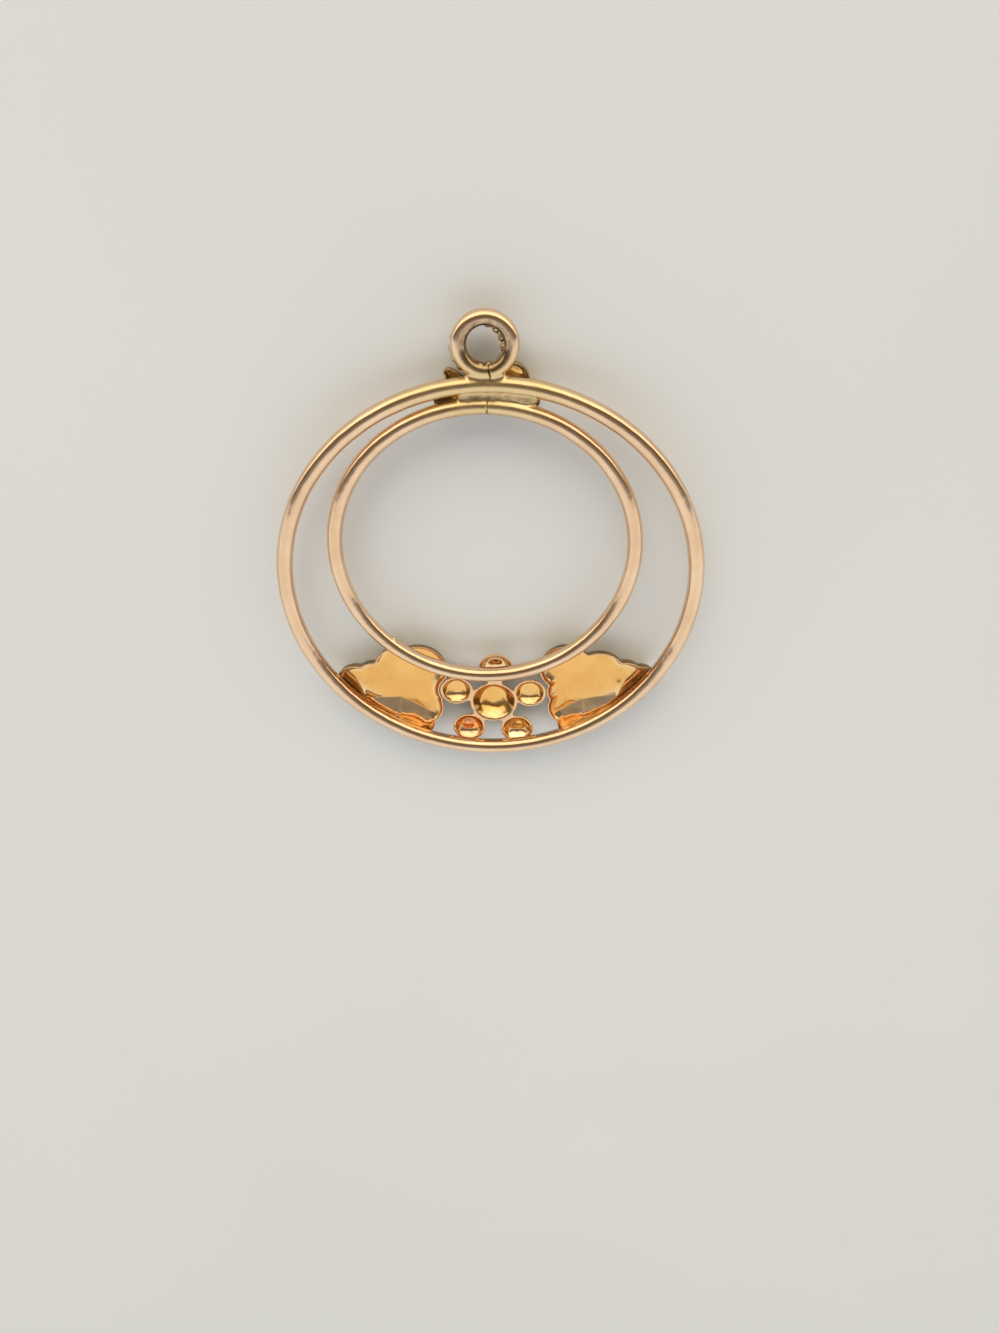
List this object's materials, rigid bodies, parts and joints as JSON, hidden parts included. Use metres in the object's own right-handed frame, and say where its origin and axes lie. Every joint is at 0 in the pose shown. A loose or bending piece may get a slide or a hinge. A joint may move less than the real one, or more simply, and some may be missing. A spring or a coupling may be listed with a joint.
{
  "type": "circle pendant",
  "caption": "Open ring-in-ring pendant with a flower between leaves at the bottom and a soldered bail ring that hangs it from a chain.",
  "frame": {"origin": "centre of the pendant's bounding box, on the surface that it lies on", "axes": "+Z is the pendant's back, which faces up; +Y points from the flower to the bail; +X is to the right as the back is seen with the bail at the top"},
  "size_m": [0.026, 0.0296, 0.0023],
  "materials": {
    "rose_gold": "polished rose gold wire, lightly worn",
    "yellow_gold": "stamped yellow gold, satin in the hollows and polished on the rims"
  },
  "bodies": {
    "root": {"wire_frame": "rose_gold", "beaded_ring": "rose_gold", "flower": "yellow_gold", "leaf_left": "yellow_gold", "leaf_right": "yellow_gold", "top_spray": "yellow_gold"}
  },
  "joints": []
}
